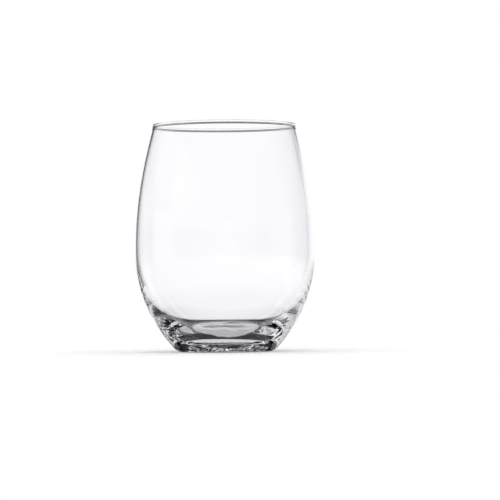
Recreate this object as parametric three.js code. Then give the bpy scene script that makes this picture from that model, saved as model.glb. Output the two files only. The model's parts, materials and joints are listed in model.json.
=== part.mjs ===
// A stemless wine glass: one piece of clear pressed-and-blown glass, turned about the Z axis.
// Millimetres, +Z up. The origin is the middle of the flat ring that the glass stands on.

import * as THREE from 'three';

// Outside of the bowl
const HEIGHT = 110;
const RIM_DIAMETER = 69.8;                         // over the rim bead
const RIM_LEAN = THREE.MathUtils.degToRad(15);     // the wall leans inwards at the rim
const BELLY_DIAMETER = 87.2;                       // the widest ring of the bowl
const BELLY_HEIGHT = 50;
const FLANK_LEAN = THREE.MathUtils.degToRad(41.5); // the wall leans outwards above the heel
const FULLNESS = 0.34;                             // handle length as a share of the height it spans

// Foot
const BEARING_DIAMETER = 42.6;                     // outer edge of the flat ring
const BEARING_WIDTH = 6;
const HEEL_RADIUS = 5;
const PUNT_DEPTH = 0.4;                            // hollow under the base
const PUNT_FULLNESS = 0.38;

// Inside of the bowl and thickness of the glass
const RIM_WALL = 1.2;
const BEAD_SWELL = 0.3;                            // the bead stands out this far from each wall face
const NECK_RADIUS = 1;                             // hollow fillet between the bead and the wall
const BELLY_WALL = 1.7;
const BASE_SWELL = 0.16;                           // smaller makes the wall thicken sooner below the belly
const BASE_LEAN = THREE.MathUtils.degToRad(55.5);  // the inside leans outwards above its corner
const CORNER_RADIUS = 11;                          // from the inside wall down to the floor
const FLOOR_DIAMETER = 29.8;                       // the level middle of the inside
const FLOOR_THICKNESS = 6.4;                       // on the axis, from the punt to the floor

// Facets
const TURN_STEPS = 64;
const LONG_CURVE_STEPS = 11;
const SHORT_CURVE_STEPS = 5;
const NECK_STEPS = 2;
const BEAD_STEPS = 4;                              // for each half of the bead

const point = (radius, height) => new THREE.Vector2(radius, height);
const along = (angle, length) => point(Math.cos(angle), Math.sin(angle)).multiplyScalar(length);

function arc(centre, radius, startAngle, endAngle, clockwise = false) {
  return new THREE.EllipseCurve(
    centre.x, centre.y, radius, radius, startAngle, endAngle, clockwise);
}

// A curve that rises from a lean outwards to a lean inwards, both measured from upright.
function bowlCurve(low, lowLean, high, highLean, highFullness = FULLNESS) {
  const lowHandle = FULLNESS * (high.y - low.y);
  const highHandle = highFullness * (high.y - low.y);
  return new THREE.CubicBezierCurve(
    low,
    point(low.x + lowHandle * Math.tan(lowLean), low.y + lowHandle),
    point(high.x + highHandle * Math.tan(highLean), high.y - highHandle),
    high);
}

function reversed(curve) {
  return new THREE.CubicBezierCurve(curve.v3, curve.v2, curve.v1, curve.v0);
}

// The fire-polished rim: a round bead that two hollow fillets blend into the wall's two faces.
function rimCurves() {
  const beadRadius = RIM_WALL / 2 + BEAD_SWELL;
  const filletOffset = RIM_WALL / 2 + NECK_RADIUS;
  const reach = beadRadius + NECK_RADIUS;
  const neckDrop = Math.sqrt(reach ** 2 - filletOffset ** 2);
  const filletTurn = Math.acos(filletOffset / reach);

  const centre = point(RIM_DIAMETER / 2 - beadRadius, HEIGHT - beadRadius);
  const outwards = RIM_LEAN;
  const inwards = RIM_LEAN + Math.PI;
  const neck = centre.clone().sub(along(RIM_LEAN + Math.PI / 2, neckDrop));
  const outerCentre = neck.clone().add(along(outwards, filletOffset));
  const innerCentre = neck.clone().add(along(inwards, filletOffset));

  return {
    outerNeck: neck.clone().add(along(outwards, RIM_WALL / 2)),
    innerNeck: neck.clone().add(along(inwards, RIM_WALL / 2)),
    outerFillet: arc(outerCentre, NECK_RADIUS, inwards, inwards - filletTurn, true),
    outerBead: arc(centre, beadRadius, outwards - filletTurn, Math.PI / 2),
    innerBead: arc(centre, beadRadius, Math.PI / 2, inwards + filletTurn),
    innerFillet: arc(innerCentre, NECK_RADIUS, outwards + filletTurn, outwards, true),
  };
}

// The section of the glass, from the punt out over the heel, belly and rim and down the inside.
function section() {
  const bearingOuter = BEARING_DIAMETER / 2;
  const bearingInner = bearingOuter - BEARING_WIDTH;
  const puntReach = PUNT_FULLNESS * bearingInner;
  const punt = new THREE.CubicBezierCurve(
    point(0, PUNT_DEPTH),
    point(puntReach, PUNT_DEPTH),
    point(bearingInner - puntReach, 0),
    point(bearingInner, 0));
  const bearing = new THREE.LineCurve(punt.v3, point(bearingOuter, 0));
  const heel = arc(point(bearingOuter, HEEL_RADIUS), HEEL_RADIUS, -Math.PI / 2, -FLANK_LEAN);

  const rim = rimCurves();
  const belly = point(BELLY_DIAMETER / 2, BELLY_HEIGHT);
  const flank = bowlCurve(heel.getPoint(1), FLANK_LEAN, belly, 0);
  const shoulder = bowlCurve(belly, 0, rim.outerNeck, RIM_LEAN);

  const floorRadius = FLOOR_DIAMETER / 2;
  const floorHeight = PUNT_DEPTH + FLOOR_THICKNESS;
  const cornerCentre = point(floorRadius, floorHeight + CORNER_RADIUS);
  const corner = arc(cornerCentre, CORNER_RADIUS, -BASE_LEAN, -Math.PI / 2, true);
  const floor = new THREE.LineCurve(point(floorRadius, floorHeight), point(0, floorHeight));

  const insideBelly = point(belly.x - BELLY_WALL, BELLY_HEIGHT);
  const insideShoulder = reversed(bowlCurve(insideBelly, 0, rim.innerNeck, RIM_LEAN));
  const insideFlank = reversed(
    bowlCurve(corner.getPoint(0), BASE_LEAN, insideBelly, 0, BASE_SWELL));

  const stretches = [
    [punt, SHORT_CURVE_STEPS],
    [bearing, 1],
    [heel, SHORT_CURVE_STEPS],
    [flank, LONG_CURVE_STEPS],
    [shoulder, LONG_CURVE_STEPS],
    [rim.outerFillet, NECK_STEPS],
    [rim.outerBead, BEAD_STEPS],
    [rim.innerBead, BEAD_STEPS],
    [rim.innerFillet, NECK_STEPS],
    [insideShoulder, LONG_CURVE_STEPS],
    [insideFlank, LONG_CURVE_STEPS],
    [corner, SHORT_CURVE_STEPS],
    [floor, 1],
  ];
  const rest = stretches.flatMap(([curve, steps]) => curve.getPoints(steps).slice(1));
  return [punt.v0, ...rest];
}

const clearGlass = new THREE.MeshStandardMaterial({
  color: 0xf1f2f5,
  roughness: 0.03,
  metalness: 0,
  transparent: true,
  opacity: 0.35,
});

function glassBody() {
  const turned = new THREE.LatheGeometry(section(), TURN_STEPS);
  turned.rotateX(Math.PI / 2);
  const body = new THREE.Mesh(turned, clearGlass);
  body.name = 'glass_body';
  return body;
}

const stemlessGlass = new THREE.Group();
stemlessGlass.add(glassBody());

export default stemlessGlass;
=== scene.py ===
# %% [markdown]
# # A stemless wine glass in a white studio
# The glass is one piece of clear soda-lime glass: an egg-shaped bowl drawn in to a beaded rim, with
# thin walls that thicken into a heavy base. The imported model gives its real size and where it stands.
# This lesson turns a finer surface inside that size, gives it the finish of fire-polished glass,
# and lights it the way clear glass is lit: a white field behind it, with dark cards beside that field.

# %% Load the frame
import json

import bpy
import numpy as np
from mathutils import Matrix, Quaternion, Vector


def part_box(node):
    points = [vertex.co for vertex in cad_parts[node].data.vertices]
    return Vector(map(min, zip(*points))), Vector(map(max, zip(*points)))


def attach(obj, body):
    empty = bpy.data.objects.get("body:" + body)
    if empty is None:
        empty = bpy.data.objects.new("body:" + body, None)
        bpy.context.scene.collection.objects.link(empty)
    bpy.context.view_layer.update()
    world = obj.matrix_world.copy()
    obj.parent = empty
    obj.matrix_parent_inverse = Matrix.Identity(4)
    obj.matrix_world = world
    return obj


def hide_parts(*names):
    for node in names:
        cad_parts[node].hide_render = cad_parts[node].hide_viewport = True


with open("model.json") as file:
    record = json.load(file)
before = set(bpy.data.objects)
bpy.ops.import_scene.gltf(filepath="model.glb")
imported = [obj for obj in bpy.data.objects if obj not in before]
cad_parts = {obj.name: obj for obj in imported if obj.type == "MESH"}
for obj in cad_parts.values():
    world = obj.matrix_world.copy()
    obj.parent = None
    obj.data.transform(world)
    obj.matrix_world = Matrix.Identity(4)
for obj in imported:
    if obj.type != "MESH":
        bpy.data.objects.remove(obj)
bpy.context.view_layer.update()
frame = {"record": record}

glass_low, glass_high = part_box("glass_body")
print("frame: the glass is", [round(1000 * side, 1) for side in glass_high - glass_low], "mm")

# %% [markdown]
# ## Sizes
# The height, the belly and the ring that the glass stands on come from the frame. The thicknesses and
# the leans of the walls are the maker's own choices, in metres and radians. One section drawn from
# them, turned about the Z axis, is the whole glass.

# %% Sizes of the section
HEIGHT = glass_high.z
BELLY_RADIUS = glass_high.x
BELLY_HEIGHT = 0.050
RIM_RADIUS = 0.0349
RIM_LEAN = np.radians(15)
FLANK_LEAN = np.radians(41.5)
FULLNESS = 0.34

BEARING_WIDTH = 0.006
BEARING_RADIUS = frame["record"]["mounts"][0]["pos_m"][0] + BEARING_WIDTH / 2
HEEL_RADIUS = 0.005
PUNT_DEPTH = 0.0004
PUNT_FULLNESS = 0.38

RIM_WALL = 0.0012
BEAD_RADIUS = RIM_WALL / 2 + 0.0003
NECK_RADIUS = 0.001
BELLY_WALL = 0.0017
BASE_SWELL = 0.16
BASE_LEAN = np.radians(55.5)
CORNER_RADIUS = 0.011
FLOOR_RADIUS = 0.0149
FLOOR_HEIGHT = PUNT_DEPTH + 0.0064
print("sizes: rim", round(2000 * RIM_RADIUS, 1), "mm, foot", round(2000 * BEARING_RADIUS, 1), "mm across")

# %% [markdown]
# ## Curves of the section
# A bowl could be drawn as a table of measured points, but a few curves with named leans are easier to
# change and have no flats or kinks. Three kinds are enough: straight lines, arcs, and cubic curves
# whose handles lie along the lean of the wall at either end.

# %% Lines and arcs
def point(radius, height):
    return np.array([radius, height])


def line(start, end, steps):
    """Points start + t (end - start), with t from 0 to 1."""
    t = np.linspace(0, 1, steps + 1)[:, None]
    return start + t * (end - start)


def arc(centre, radius, start, end, steps):
    """Points centre + radius (cos a, sin a), with a from start to end."""
    angle = np.linspace(start, end, steps + 1)
    return centre + radius * np.column_stack([np.cos(angle), np.sin(angle)])


def chain(*stretches):
    """Stretches laid end to end, with each shared point kept once."""
    return np.vstack([stretches[0], *[stretch[1:] for stretch in stretches[1:]]])

# %% Bowl curves
def cubic(start, start_handle, end_handle, end, steps):
    """The four points weighted by (1-t)^3, 3 t (1-t)^2, 3 t^2 (1-t) and t^3, with t from 0 to 1."""
    t = np.linspace(0, 1, steps + 1)[:, None]
    s = 1 - t
    return s**3 * start + 3 * t * s**2 * start_handle + 3 * t**2 * s * end_handle + t**3 * end


def bowl(low, low_lean, high, high_lean, steps, high_fullness=FULLNESS):
    """A cubic that rises from a lean outwards to a lean inwards: each handle rises or drops by its
    fullness times the height between the ends, and goes sideways by that times the lean's tangent."""
    span = high[1] - low[1]
    low_rise, high_drop = FULLNESS * span, high_fullness * span
    low_handle = low + low_rise * point(np.tan(low_lean), 1)
    high_handle = high + high_drop * point(np.tan(high_lean), -1)
    return cubic(low, low_handle, high_handle, high, steps)

# %% [markdown]
# ## The foot and the outside
# The glass stands on a flat ring round a shallow hollow, the punt, so that it can't rock. A rounded
# heel leads from the ring to the flank, the flank swells to the belly, and the shoulder draws in to
# the rim. The punt could be an arc, but a cubic meets the flat ring without an edge.

# %% Foot and outside
bearing_inner = BEARING_RADIUS - BEARING_WIDTH
punt_reach = PUNT_FULLNESS * bearing_inner
punt = cubic(point(0, PUNT_DEPTH), point(punt_reach, PUNT_DEPTH),
             point(bearing_inner - punt_reach, 0), point(bearing_inner, 0), steps=18)
bearing = line(punt[-1], point(BEARING_RADIUS, 0), steps=6)
heel = arc(point(BEARING_RADIUS, HEEL_RADIUS), HEEL_RADIUS, -np.pi / 2, -FLANK_LEAN, steps=14)

belly = point(BELLY_RADIUS, BELLY_HEIGHT)
flank = bowl(heel[-1], FLANK_LEAN, belly, 0, steps=48)
print("foot: ring", round(1000 * BEARING_WIDTH, 1), "mm wide, punt", round(1000 * PUNT_DEPTH, 2), "mm deep")

# %% [markdown]
# ## The rim
# The rim is melted with a flame after it is cut, and surface tension pulls the melt into a bead that
# is slightly thicker than the wall. A bead could be one round edge on the wall, but then it would be no
# thicker. Here a circle sits on the leaning wall, and a small hollow arc on each side runs into it.

# %% Rim bead
fillet_offset = RIM_WALL / 2 + NECK_RADIUS
fillet_reach = BEAD_RADIUS + NECK_RADIUS
fillet_turn = np.arccos(fillet_offset / fillet_reach)
outwards = point(np.cos(RIM_LEAN), np.sin(RIM_LEAN))
upwards = point(-np.sin(RIM_LEAN), np.cos(RIM_LEAN))
bead_centre = point(RIM_RADIUS - BEAD_RADIUS, HEIGHT - BEAD_RADIUS)
neck = bead_centre - upwards * np.sqrt(fillet_reach**2 - fillet_offset**2)

outer_fillet = arc(neck + fillet_offset * outwards, NECK_RADIUS,
                   RIM_LEAN + np.pi, RIM_LEAN + np.pi - fillet_turn, steps=5)
outer_bead = arc(bead_centre, BEAD_RADIUS, RIM_LEAN - fillet_turn, np.pi / 2, steps=12)
inner_bead = arc(bead_centre, BEAD_RADIUS, np.pi / 2, RIM_LEAN + np.pi + fillet_turn, steps=12)
inner_fillet = arc(neck - fillet_offset * outwards, NECK_RADIUS,
                   RIM_LEAN + fillet_turn, RIM_LEAN, steps=5)
shoulder = bowl(belly, 0, outer_fillet[0], RIM_LEAN, steps=44)
print("rim: bead", round(2000 * BEAD_RADIUS, 2), "mm thick on a wall of", round(1000 * RIM_WALL, 2), "mm")

# %% [markdown]
# ## The inside
# The blown inside follows the outside closely down to the belly. Below it the glass was left thicker,
# so the inside leans over more than the outside, turns through a soft corner and ends in a level
# floor. A copy of the outside, moved inwards, would be simpler, but its base would be as thin as its
# wall. This wedge of clear glass bends the view onto the dark cards and the painted shade on the table,
# and so draws the dark and bright bands at the foot.

# %% Inside
inside_belly = belly - point(BELLY_WALL, 0)
inside_shoulder = bowl(inside_belly, 0, inner_fillet[-1], RIM_LEAN, steps=44)[::-1]
corner_centre = point(FLOOR_RADIUS, FLOOR_HEIGHT + CORNER_RADIUS)
corner = arc(corner_centre, CORNER_RADIUS, -BASE_LEAN, -np.pi / 2, steps=16)
inside_flank = bowl(corner[0], BASE_LEAN, inside_belly, 0, steps=52, high_fullness=BASE_SWELL)[::-1]
bowl_floor = line(corner[-1], point(0, FLOOR_HEIGHT), steps=12)

outside = chain(punt, bearing, heel, flank, shoulder, outer_fillet, outer_bead)
inside = chain(inner_bead, inner_fillet, inside_shoulder, inside_flank, corner, bowl_floor)
section = chain(outside, inside)
print("section:", len(section), "points")

# %% [markdown]
# ## Chill waves
# Hot glass chills against the plunger and the mould in soft waves, which show as streaks in the base
# although they are only about a tenth of a millimetre high. A noise texture on a bump could tilt the
# light, but not move the surface that bends it. A few cosines of the angle and of the distance along
# the section move it, and they meet without a seam after a full turn.

# %% Chill waves
CHILL_WAVES = [(7.0e-5, 2, 0.0040, 0.6), (5.0e-5, 3, -0.0026, 2.1), (3.0e-5, 5, 0.0015, 4.0),
               (1.2e-5, 11, -0.0020, 1.3), (2.0e-5, 29, 0.0060, 0.3)]
INSIDE_WAVES = (0.0, 0.034, 1.0)
HEEL_WAVES = (BEARING_RADIUS + 0.001, 0.040, 1.4)


def chill_waves(distance, angle, start, end, share):
    """A share of the sum of height cos(turns times the angle + distance / length + phase), faded in
    from the start of the distance along the section and out again towards its end."""
    way = np.clip((distance - start) / (end - start), 0, 1)
    fade = share * np.sin(np.pi * np.sqrt(way)) ** 2
    waves = sum(height * np.cos(turns * angle + distance / length + phase)
                for height, turns, length, phase in CHILL_WAVES)
    return fade * waves


print("chill waves:", [round(1000 * height, 3) for height, *_ in CHILL_WAVES], "mm high")

# %% [markdown]
# ## Turning the section
# A Screw modifier could turn the section. Working out the grid itself keeps the pole points single
# and lets the waves be part of it.

# %% Turned surface
TURN_STEPS = 300


def turned(section, steps):
    """The section point (r, z) at angle a is (r cos a, r sin a, z + waves). The two end points lie on
    the axis, so each is one vertex, joined to its ring by triangles. Returns vertices and faces."""
    angle = np.linspace(0, 2 * np.pi, steps, endpoint=False)
    rings = section[1:-1]
    radius = rings[:, :1]
    is_inside = np.arange(1, len(section) - 1)[:, None] >= len(outside)
    steps_along = np.linalg.norm(np.diff(section, axis=0), axis=1)
    from_foot = steps_along.cumsum()[:-1, None]
    to_floor = steps_along[::-1].cumsum()[::-1][1:, None]
    wave = np.where(is_inside, chill_waves(to_floor, angle[None, :], *INSIDE_WAVES),
                    chill_waves(from_foot, angle[None, :], *HEEL_WAVES))
    grid = np.stack([radius * np.cos(angle), radius * np.sin(angle), rings[:, 1:] + wave], axis=-1)
    poles = np.array([[0, 0, section[0, 1]], [0, 0, section[-1, 1]]])
    vertices = np.vstack([grid.reshape(-1, 3), poles])

    number = np.arange(grid.shape[0] * steps).reshape(-1, steps)
    beside = np.roll(number, -1, axis=1)
    quads = np.stack([number[:-1], beside[:-1], beside[1:], number[1:]], axis=-1).reshape(-1, 4)
    first, last = len(vertices) - 2, len(vertices) - 1
    under = np.column_stack([np.full(steps, first), beside[0], number[0]])
    over = np.column_stack([np.full(steps, last), number[-1], beside[-1]])
    return vertices, quads.tolist() + under.tolist() + over.tolist()

# %% Glass
def mesh_object(name, vertices, faces):
    mesh = bpy.data.meshes.new(name)
    mesh.from_pydata(vertices.tolist(), [], faces)
    mesh.shade_smooth()
    made = bpy.data.objects.new(name, mesh)
    bpy.context.scene.collection.objects.link(made)
    return made


glass = mesh_object("glass", *turned(section, TURN_STEPS))
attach(glass, "root")
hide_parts("glass_body")
print("glass:", len(glass.data.vertices), "vertices,", len(glass.data.polygons), "faces")

# %% [markdown]
# ## What it holds and weighs
# A turned section gives its volume at once: the area of a disc at each height, added up. A glass that
# holds what its kind holds, and weighs what it should, has believable walls.

# %% Capacity and mass
GLASS_DENSITY = 2500


def turned_volume(curve):
    """The sum of pi r^2 dz along the curve."""
    middle = (curve[1:, 0] + curve[:-1, 0]) / 2
    return abs(np.sum(np.pi * middle**2 * np.diff(curve[:, 1])))


capacity = turned_volume(inside)
glass_volume = turned_volume(outside) - capacity
mass = GLASS_DENSITY * glass_volume
print("holds", round(1e6 * capacity), "ml to the brim and weighs", round(1000 * mass), "g")

# %% [markdown]
# ## Building materials from nodes
# Every material here is a small graph. One helper makes a node, and takes numbers, colours or other
# nodes' outputs for its inputs, so that each graph below reads from its coordinates to its shader.

# %% A helper for nodes
def add_node(tree, kind, inputs=(), **settings):
    """A node of that kind, with its settings, and its inputs set to values or linked to sockets."""
    made = tree.nodes.new(kind)
    for name, value in settings.items():
        setattr(made, name, value)
    for name, value in dict(inputs).items():
        if isinstance(value, bpy.types.NodeSocket):
            tree.links.new(value, made.inputs[name])
        else:
            made.inputs[name].default_value = value
    return made


def new_material(name):
    material = bpy.data.materials.new(name)
    material.use_nodes = True
    material.node_tree.nodes.clear()
    return material

# %% [markdown]
# ## Marks of making and use
# Clear glass is never quite even. Cords, which are threads of slightly denser melt, run up the wall
# and tint it by a hair, the blown surface swims very gently, and the ring that stands on the table is
# dulled by use. Images could carry these marks, but noise in the Object coordinates has no seam. A node
# group works out the tint, the height of the surface and the wear, which change over the glass.

# %% Node group: its sockets
marks = bpy.data.node_groups.new("marks of making and use", "ShaderNodeTree")
marks.interface.new_socket("Position", in_out="INPUT", socket_type="NodeSocketVector")
marks.interface.new_socket("Clear Tint", in_out="INPUT", socket_type="NodeSocketColor")
marks.interface.new_socket("Cord Tint", in_out="INPUT", socket_type="NodeSocketColor")
marks.interface.new_socket("Tint", in_out="OUTPUT", socket_type="NodeSocketColor")
marks.interface.new_socket("Dullness", in_out="OUTPUT", socket_type="NodeSocketFloat")
marks.interface.new_socket("Swim", in_out="OUTPUT", socket_type="NodeSocketFloat")
print("marks of making and use:", len(marks.interface.items_tree), "sockets")

# %% Node group: cords, swim and scuffs
CORD_STRETCH = (1, 1, 0.25)
CORD_SCALE = 180.0
SWIM_SCALE = 60.0
SCUFF_SCALE = 900.0
SCUFFED_RING = 0.1
SCUFFED_HEIGHT = 0.00008

given = add_node(marks, "NodeGroupInput")
upright = add_node(marks, "ShaderNodeMapping",
                   {"Vector": given.outputs["Position"], "Scale": CORD_STRETCH})
cords = add_node(marks, "ShaderNodeTexNoise",
                 {"Vector": upright.outputs["Vector"], "Scale": CORD_SCALE, "Detail": 2.0})
tint = add_node(marks, "ShaderNodeMix", data_type="RGBA",
                inputs={"Factor": cords.outputs["Fac"]})
marks.links.new(given.outputs["Clear Tint"], tint.inputs["A"])
marks.links.new(given.outputs["Cord Tint"], tint.inputs["B"])
swim = add_node(marks, "ShaderNodeTexNoise",
                {"Vector": upright.outputs["Vector"], "Scale": SWIM_SCALE, "Detail": 0.0})

height = add_node(marks, "ShaderNodeSeparateXYZ", {"Vector": given.outputs["Position"]})
on_ring = add_node(marks, "ShaderNodeMapRange", {"Value": height.outputs["Z"],
                   "From Min": SCUFFED_HEIGHT, "From Max": 0.0, "To Min": 0.0, "To Max": SCUFFED_RING})
scuffs = add_node(marks, "ShaderNodeTexNoise",
                  {"Vector": given.outputs["Position"], "Scale": SCUFF_SCALE, "Detail": 3.0})
dullness = add_node(marks, "ShaderNodeMath", operation="MULTIPLY",
                    inputs={0: on_ring.outputs["Result"], 1: scuffs.outputs["Fac"]})
add_node(marks, "NodeGroupOutput", {"Tint": tint.outputs["Result"],
         "Dullness": dullness.outputs["Value"], "Swim": swim.outputs["Fac"]})
print("marks of making and use:", len(marks.nodes), "nodes")

# %% [markdown]
# ## Clear glass
# Fire-polished soda-lime glass is clear, colourless and smooth. A Glass shader could give it, but the
# Principled shader is the one that other programs understand. It takes the marks from the group, and
# what is the same all over, such as the index of refraction, is set on the shader itself.

# %% Material: clear glass
SODA_LIME_IOR = 1.51
CLEAR_TINT = (0.992, 0.992, 0.999, 1)
CORD_TINT = (0.984, 0.984, 0.997, 1)
SWIM_HEIGHT = 0.00001

clear_glass = new_material("clear_glass")
tree = clear_glass.node_tree
place = add_node(tree, "ShaderNodeTexCoord")
making = add_node(tree, "ShaderNodeGroup", node_tree=marks, inputs={
    "Position": place.outputs["Object"], "Clear Tint": CLEAR_TINT, "Cord Tint": CORD_TINT})
surface = add_node(tree, "ShaderNodeBump", {
    "Strength": 1.0, "Distance": SWIM_HEIGHT, "Height": making.outputs["Swim"]})
shader = add_node(tree, "ShaderNodeBsdfPrincipled", {
    "Base Color": making.outputs["Tint"], "Roughness": making.outputs["Dullness"],
    "Normal": surface.outputs["Normal"], "Metallic": 0.0, "IOR": SODA_LIME_IOR,
    "Transmission Weight": 1.0})
add_node(tree, "ShaderNodeOutputMaterial", {"Surface": shader.outputs["BSDF"]})
glass.data.materials.append(clear_glass)
print("clear glass: index of refraction", SODA_LIME_IOR)

# %% [markdown]
# ## The table
# A small round white table stands under the glass, a hair below it so that the two surfaces don't
# share a plane. A circle from the Add menu would do, but a grid of rings is made the same way as the
# glass.

# %% Table top
TABLE_RADIUS = 0.12
TABLE_DROP = 0.0001
TABLE_RINGS = 9
TABLE_SPOKES = 97

table_rings = np.linspace(0, TABLE_RADIUS, TABLE_RINGS)[:, None]
table_angle = np.linspace(0, 2 * np.pi, TABLE_SPOKES)
table_grid = np.stack([table_rings * np.cos(table_angle), table_rings * np.sin(table_angle),
                       np.full((TABLE_RINGS, TABLE_SPOKES), -TABLE_DROP)], axis=-1)
table_number = np.arange(TABLE_RINGS * TABLE_SPOKES).reshape(TABLE_RINGS, TABLE_SPOKES)
table_faces = np.stack([table_number[:-1, :-1], table_number[1:, :-1],
                        table_number[1:, 1:], table_number[:-1, 1:]], axis=-1).reshape(-1, 4)
table = mesh_object("table", table_grid.reshape(-1, 3), table_faces.tolist())
print("table: radius", TABLE_RADIUS, "m")

# %% [markdown]
# ## Tones
# White paint in shade is a cool grey. A helper turns a short list of tones into a colour ramp, so that
# the shade on the table and the cards of the studio are mixed in the same way.

# %% A helper for tones
COOL_SHADE = 0.12
COOL_BLACK = 0.02


def add_ramp(tree, share, stops, interpolation="EASE"):
    """A colour ramp with a tone at each stop, a pair of position and tone. The darker a tone is, the
    cooler its grey: its blue is higher by a share of the tone that falls to nothing at white."""
    made = add_node(tree, "ShaderNodeValToRGB", {"Fac": share})
    ramp = made.color_ramp
    ramp.interpolation = interpolation
    while len(ramp.elements) < len(stops):
        ramp.elements.new(1.0)
    for element, (position, tone) in zip(ramp.elements, stops):
        element.position = position
        element.color = (tone, tone, tone + COOL_SHADE * (1 - tone) * (tone + COOL_BLACK), 1)
    return made.outputs["Color"]

# %% [markdown]
# ## Shade on the table
# Hardly any light gets in under the heel, so a contact shade is painted on the table there: dark from
# the ring that the glass stands on to under the leaning flank, wider from side to side because the dark
# cards stand there, with a painted pale spot of light in the middle, where light comes down through the
# clear floor of the bowl. It could be left to the renderer, but light that comes through glass onto a
# table takes very many samples. So the shade is painted as a colour of the table, by distance, and rays
# that come from the glass see it as it is written, as a glow of that colour. The flank leans over the
# table and mirrors the part that it shades, so mirrored rays see a wider painted shade. Seen directly,
# the open table is nearly white, with a faint trace of the painted shade, and keeps the soft shadow that
# the glass casts.

# %% Tones of the table
TABLE_WHITE = 0.97
# Painted shade on the table, as pairs of distance and tone: a painted pale spot of light under the bowl's
# floor ringed by dark, an oval painted cast shade, and a wider painted shade for mirrored rays.
FLOOR_SHADE = [(0.0178, 0.66), (0.0193, 0.02)]
CAST_SHADE = [(0.0300, 0.04), (0.0360, TABLE_WHITE)]
CAST_CENTRE = (-0.001, -0.0045, 0)
CAST_STRETCH = (1.3, 1, 1)
MIRRORED_SHADE = [(0.060, 0.02), (0.118, TABLE_WHITE)]

table_white = new_material("table_white")
tree = table_white.node_tree
place = add_node(tree, "ShaderNodeTexCoord")


def shade_round(centre, stops, stretch=(1, 1, 1)):
    """The tones of the stops, each a pair of distance and tone, by the distance from the centre. Each
    axis is divided by its stretch first, so a round shade becomes an oval."""
    unstretched = add_node(tree, "ShaderNodeVectorMath", operation="DIVIDE",
                           inputs={0: place.outputs["Object"], 1: stretch})
    distance = add_node(tree, "ShaderNodeVectorMath", operation="DISTANCE",
                        inputs={0: unstretched.outputs["Vector"], 1: centre})
    share = add_node(tree, "ShaderNodeMath", operation="DIVIDE",
                     inputs={0: distance.outputs["Value"], 1: TABLE_RADIUS})
    return add_ramp(tree, share.outputs["Value"], [(far / TABLE_RADIUS, tone) for far, tone in stops])


# Painted contact shade: the lighter of the painted shade round the spot under the floor and the oval
# painted cast shade.
painted_contact_shade = add_node(tree, "ShaderNodeMix", data_type="RGBA", blend_type="LIGHTEN", inputs={
    "Factor": 1.0, "A": shade_round((0, 0, 0), FLOOR_SHADE),
    "B": shade_round(CAST_CENTRE, CAST_SHADE, CAST_STRETCH)})
# A wider painted shade, which only rays mirrored by the glass see.
painted_mirrored_shade = shade_round((0, 0, 0), MIRRORED_SHADE)
print("table: shade out to", round(1000 * CAST_SHADE[-1][0]), "mm, a white of", TABLE_WHITE)

# %% Material: white table
SOFT_LIGHT = 1.1
OPEN_TABLE_LIFT = 0.95

rays = add_node(tree, "ShaderNodeLightPath")
# Camera rays see the painted shade lifted nearly to white; other rays see all of it.
lift = add_node(tree, "ShaderNodeMath", operation="MULTIPLY",
                inputs={0: rays.outputs["Is Camera Ray"], 1: OPEN_TABLE_LIFT})
shade = add_node(tree, "ShaderNodeMix", data_type="RGBA", inputs={
    "Factor": lift.outputs["Value"], "A": painted_contact_shade.outputs["Result"],
    "B": (TABLE_WHITE, TABLE_WHITE, TABLE_WHITE, 1)})
seen = add_node(tree, "ShaderNodeMix", data_type="RGBA", inputs={
    "Factor": rays.outputs["Is Reflection Ray"], "A": shade.outputs["Result"], "B": painted_mirrored_shade})
matt = add_node(tree, "ShaderNodeBsdfDiffuse", {"Color": shade.outputs["Result"]})
# Rays from the glass see the table as a glow of its painted shade tones, at the strength of the soft light,
# instead of lit.
painted_table_glow = add_node(tree, "ShaderNodeEmission", {"Color": seen.outputs["Result"], "Strength": SOFT_LIGHT})
looks = add_node(tree, "ShaderNodeMixShader", {
    0: rays.outputs["Is Glossy Ray"], 1: matt.outputs["BSDF"], 2: painted_table_glow.outputs["Emission"]})
add_node(tree, "ShaderNodeOutputMaterial", {"Surface": looks.outputs["Shader"]})
table.data.materials.append(table_white)
print("table:", len(tree.nodes), "nodes")

# %% [markdown]
# ## The studio
# Clear glass takes its look from what stands round it. On a plain white sweep it would vanish, so
# the photographer stands dark cards beside the white field. The thin wall bends the view sideways only
# at its edges, so the cards show there as thin dark lines, and the thick base bends it most. Cards and
# lamps could be objects, but as a world they need no room and stay out of the picture. It is in layers
# by height: a pale sweep low down, low cards and cards by their bearing, dimmer cards above them, a
# narrow light box and a dark ceiling. A bearing of 0 degrees is straight behind the glass, and a
# bearing of 90 degrees is to its right.

# %% Heights and tones of the studio
SWEEP_LINE = np.radians(-20)
CARD_FOOT = np.radians(-6.5)
CARD_TOP = np.radians(8.6)
BOX_FOOT = np.radians(25)
BOX_TOP = np.radians(32)
BLEND = np.radians(1)
SOFT_BLEND = np.radians(3.5)
SWEEP = (0.95, 0.95, 0.955, 1)
CEILING = (0.02, 0.02, 0.025, 1)
WHITE = (1, 1, 1, 1)
LOW_TONES = [(-180, 0.95), (-40, 0.95), (-31, 0.82), (-27, 0.15), (-17.5, 0.02), (-14.5, 0.97),
             (14.5, 0.97), (17, 0.80), (22, 0.84), (27, 0.93), (180, 0.95)]
CARD_TONES = [(-180, 0.48), (-150, 0.47), (-125, 0.50), (-104, 0.82), (-86, 0.90), (-76, 0.90),
              (-73, 0.62), (-50, 0.66), (-40, 0.62), (-28, 0.55), (-24, 0.08), (-17.5, 0.03),
              (-15, 0.98), (15, 0.98), (17, 0.84), (21, 0.86), (27, 0.94), (34, 0.85), (45, 0.55),
              (58, 0.32), (75, 0.20), (98, 0.20), (108, 0.08), (130, 0.10), (150, 0.34), (180, 0.48)]
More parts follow.
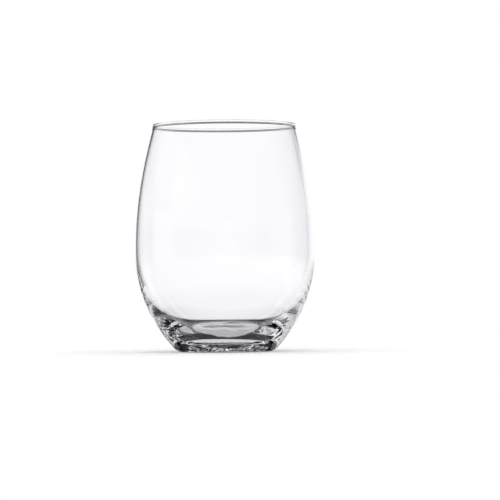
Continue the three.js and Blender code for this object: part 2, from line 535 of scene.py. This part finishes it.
HIGH_TONES = [(-180, 0.08), (-140, 0.15), (-115, 0.35), (-100, 0.22), (-70, 0.43), (-42, 0.45),
              (-30, 0.20), (-20, 0.02), (22, 0.02), (30, 0.26), (42, 0.20), (60, 0.12), (75, 0.0),
              (180, 0.05)]
BOX_TONES = [(-180, 0.05), (-60, 0.10), (-45, 1.0), (40, 1.0), (55, 0.10), (180, 0.05)]
print("studio:", len(LOW_TONES + CARD_TONES + HIGH_TONES + BOX_TONES), "tones")

# %% Helpers for the studio
world = bpy.data.worlds.new("studio")
bpy.context.scene.world = world
world.use_nodes = True
tree = world.node_tree
tree.nodes.clear()


def math_node(operation, first, second):
    made = add_node(tree, "ShaderNodeMath", operation=operation, inputs={0: first, 1: second})
    return made.outputs["Value"]


def mixed(share, first, second):
    """The first colour where the share is 0, and the second where it is 1."""
    made = add_node(tree, "ShaderNodeMix", data_type="RGBA",
                    inputs={"Factor": share, "A": first, "B": second})
    return made.outputs["Result"]


def above(angle, blend):
    """0 below that angle over the horizon and 1 above it, with a step as soft as the blend."""
    made = add_node(tree, "ShaderNodeMapRange", interpolation_type="SMOOTHSTEP", inputs={
        "Value": towards.outputs["Z"],
        "From Min": np.sin(angle - blend), "From Max": np.sin(angle + blend)})
    return made.outputs["Result"]

# %% Layers of the studio
towards = add_node(tree, "ShaderNodeSeparateXYZ", {
    "Vector": add_node(tree, "ShaderNodeTexCoord").outputs["Generated"]})
bearing_angle = math_node("ARCTAN2", towards.outputs["X"], towards.outputs["Y"])
round_studio = add_node(tree, "ShaderNodeMapRange", {
    "Value": bearing_angle, "From Min": -np.pi, "From Max": np.pi}).outputs["Result"]
low_cards, cards, high_cards, light_box = [
    add_ramp(tree, round_studio, [((degrees + 180) / 360, tone) for degrees, tone in tones])
    for tones in (LOW_TONES, CARD_TONES, HIGH_TONES, BOX_TONES)]
studio = mixed(above(SWEEP_LINE, SOFT_BLEND), SWEEP, low_cards)
studio = mixed(above(CARD_FOOT, SOFT_BLEND), studio, cards)
studio = mixed(above(CARD_TOP, BLEND), studio, high_cards)
studio = mixed(above(BOX_FOOT, BLEND), studio, light_box)
studio = mixed(above(BOX_TOP, BLEND), studio, CEILING)
print("studio:", len(tree.nodes), "nodes")

# %% [markdown]
# ## Who sees the studio
# Rays that leave the glass see the cards. The table gets even soft light instead, because the cards
# would shade it unevenly, and the camera sees plain white. Lamps that light only some objects could do
# the same, but the kind of ray is enough.

# %% Studio world
rays = add_node(tree, "ShaderNodeLightPath")
not_on_table = math_node("LESS_THAN", rays.outputs["Diffuse Depth"], 1.0)
from_glass = math_node("SUBTRACT", not_on_table, rays.outputs["Is Camera Ray"])
strength = add_node(tree, "ShaderNodeMapRange", {
    "Value": rays.outputs["Is Camera Ray"], "To Min": SOFT_LIGHT, "To Max": 1.0}).outputs["Result"]
sky = add_node(tree, "ShaderNodeBackground",
               {"Color": mixed(from_glass, WHITE, studio), "Strength": strength})
add_node(tree, "ShaderNodeOutputWorld", {"Surface": sky.outputs["Background"]})
print("studio: soft light of", SOFT_LIGHT)

# %% [markdown]
# ## The camera
# The rim and the foot both show as nearly flat lines, so the camera is far away and level with the
# lower bowl. A long lens keeps the egg's true outline. The picture's scale follows from the height of
# the glass in it, and the aim is the point of the glass's own plane in the middle of the picture.

# %% Camera
PICTURE = 500
BASE_PIXEL = (225.0, 351.0)
RIM_PIXEL_ROW = 124.0
CAMERA_DISTANCE = 1.2
CAMERA_HEIGHT = 0.029
CAMERA_ROLL = np.radians(-0.45)

metres_per_pixel = HEIGHT / (BASE_PIXEL[1] - RIM_PIXEL_ROW)
half_picture = PICTURE / 2
aim = Vector((half_picture - BASE_PIXEL[0], 0, BASE_PIXEL[1] - half_picture)) * metres_per_pixel
camera_data = bpy.data.cameras.new("camera")
camera = bpy.data.objects.new("camera", camera_data)
bpy.context.scene.collection.objects.link(camera)
camera.location = (0, -CAMERA_DISTANCE, CAMERA_HEIGHT)
camera.rotation_mode = "QUATERNION"
level = (aim - camera.location).to_track_quat("-Z", "Y")
camera.rotation_quaternion = level @ Quaternion((0, 0, 1), CAMERA_ROLL)
camera_data.angle = 2 * np.arctan(half_picture * metres_per_pixel / CAMERA_DISTANCE)
bpy.context.scene.camera = camera
print("camera:", round(camera_data.lens), "mm lens at", CAMERA_DISTANCE, "m")

# %% [markdown]
# ## Light paths and colours
# Light crosses many faces in the thick base before it leaves, so it is followed for more bounces than
# usual. The Standard view shows white as white.

# %% Render settings that belong to the scene
BOUNCES = 32

scene = bpy.context.scene
scene.cycles.max_bounces = BOUNCES
scene.cycles.transmission_bounces = BOUNCES
scene.cycles.glossy_bounces = BOUNCES
scene.cycles.use_denoising = True
scene.view_settings.view_transform = "Standard"
print("light paths: up to", BOUNCES, "bounces")
